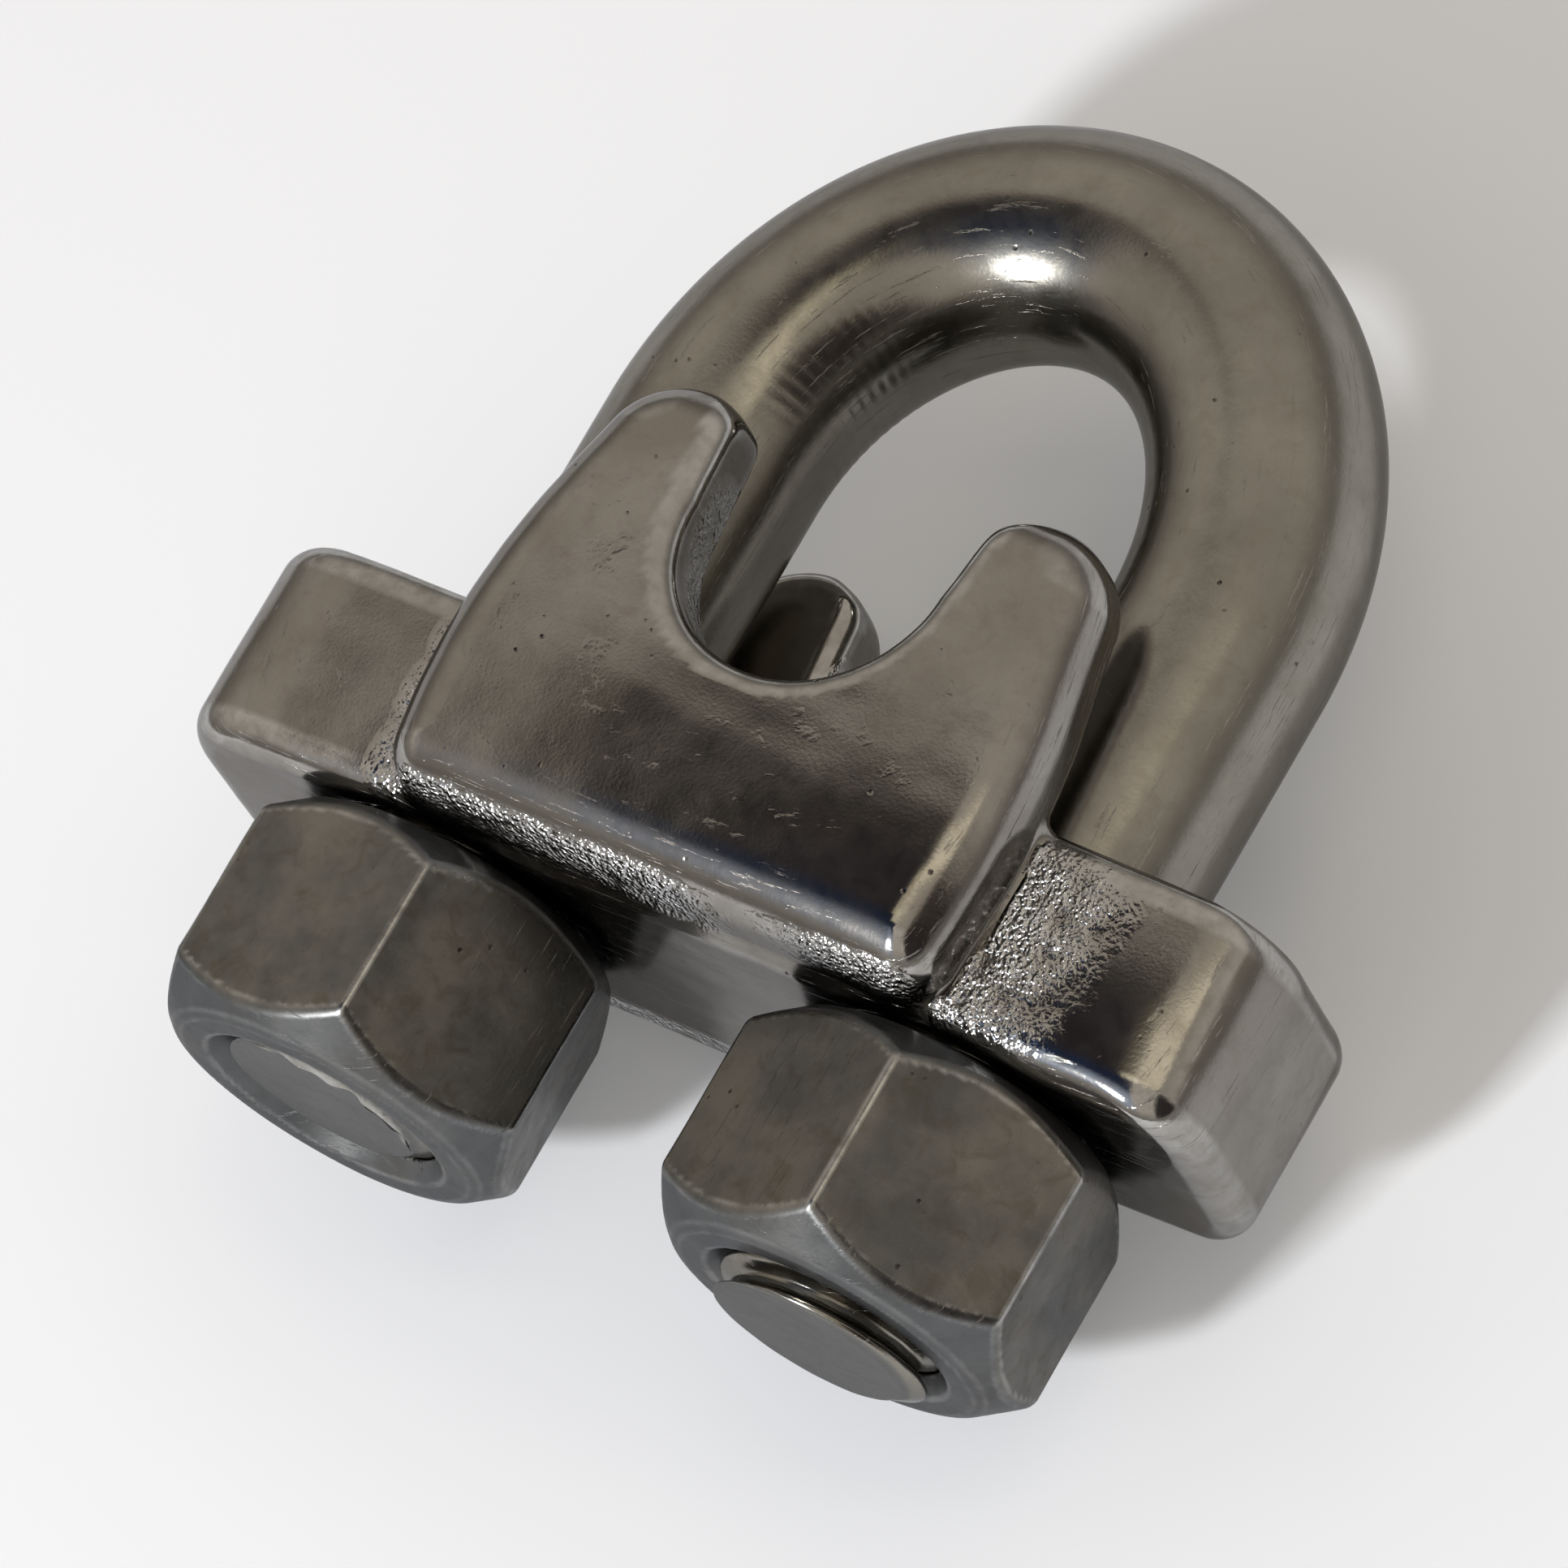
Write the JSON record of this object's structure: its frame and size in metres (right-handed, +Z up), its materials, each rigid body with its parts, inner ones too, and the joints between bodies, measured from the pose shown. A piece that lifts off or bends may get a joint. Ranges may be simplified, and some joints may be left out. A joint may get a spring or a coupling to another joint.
{
  "type": "wire rope clip",
  "caption": "Wire rope clip: cast saddle with horned walls, bent U-bolt with threaded legs, and heavy hexagon nuts that draw the bow down on the rope.",
  "frame": {"origin": "centre of the clip's box in X and Y, on the plane of the saddle's rear faces, on which the clip lies", "axes": "+X from the left leg to the right leg, +Y along the legs towards the bow of the U-bolt, +Z up, along the rope, from the rear faces to the front faces of the saddle"},
  "size_m": [0.0602, 0.064, 0.028],
  "materials": {
    "cast_steel": "cast stainless steel, tumbled and polished to a satin sheen, with rough cast patches in the corners",
    "bar_steel": "stainless bar, bent and polished, with fine scratches",
    "nut_steel": "satin stainless steel, slightly mottled"
  },
  "bodies": {
    "saddle": {"saddle": "cast_steel"},
    "u_bolt": {"u_bolt": "bar_steel"},
    "nut_left": {"nut_left": "nut_steel"},
    "nut_right": {"nut_right": "nut_steel"}
  },
  "joints": [
    {"name": "u_bolt_slide", "type": "slide", "parent": "saddle", "child": "u_bolt", "axis": [0, 1, 0], "range_m": [-0.0105, 0.00525]},
    {"name": "nut_left_turn", "type": "hinge", "parent": "saddle", "child": "nut_left", "pos_m": [-0.015, -0.0242, 0.014], "axis": [0, 1, 0], "range_deg": [-1081, 2161]},
    {"name": "nut_right_turn", "type": "hinge", "parent": "saddle", "child": "nut_right", "pos_m": [0.015, -0.0242, 0.014], "axis": [0, 1, 0], "range_deg": [-1081, 2161]}
  ],
  "couplings": [
    {"joint": "nut_left_turn", "follows": "u_bolt_slide", "rad_per_m": -3590.4},
    {"joint": "nut_right_turn", "follows": "u_bolt_slide", "rad_per_m": -3590.4}
  ]
}
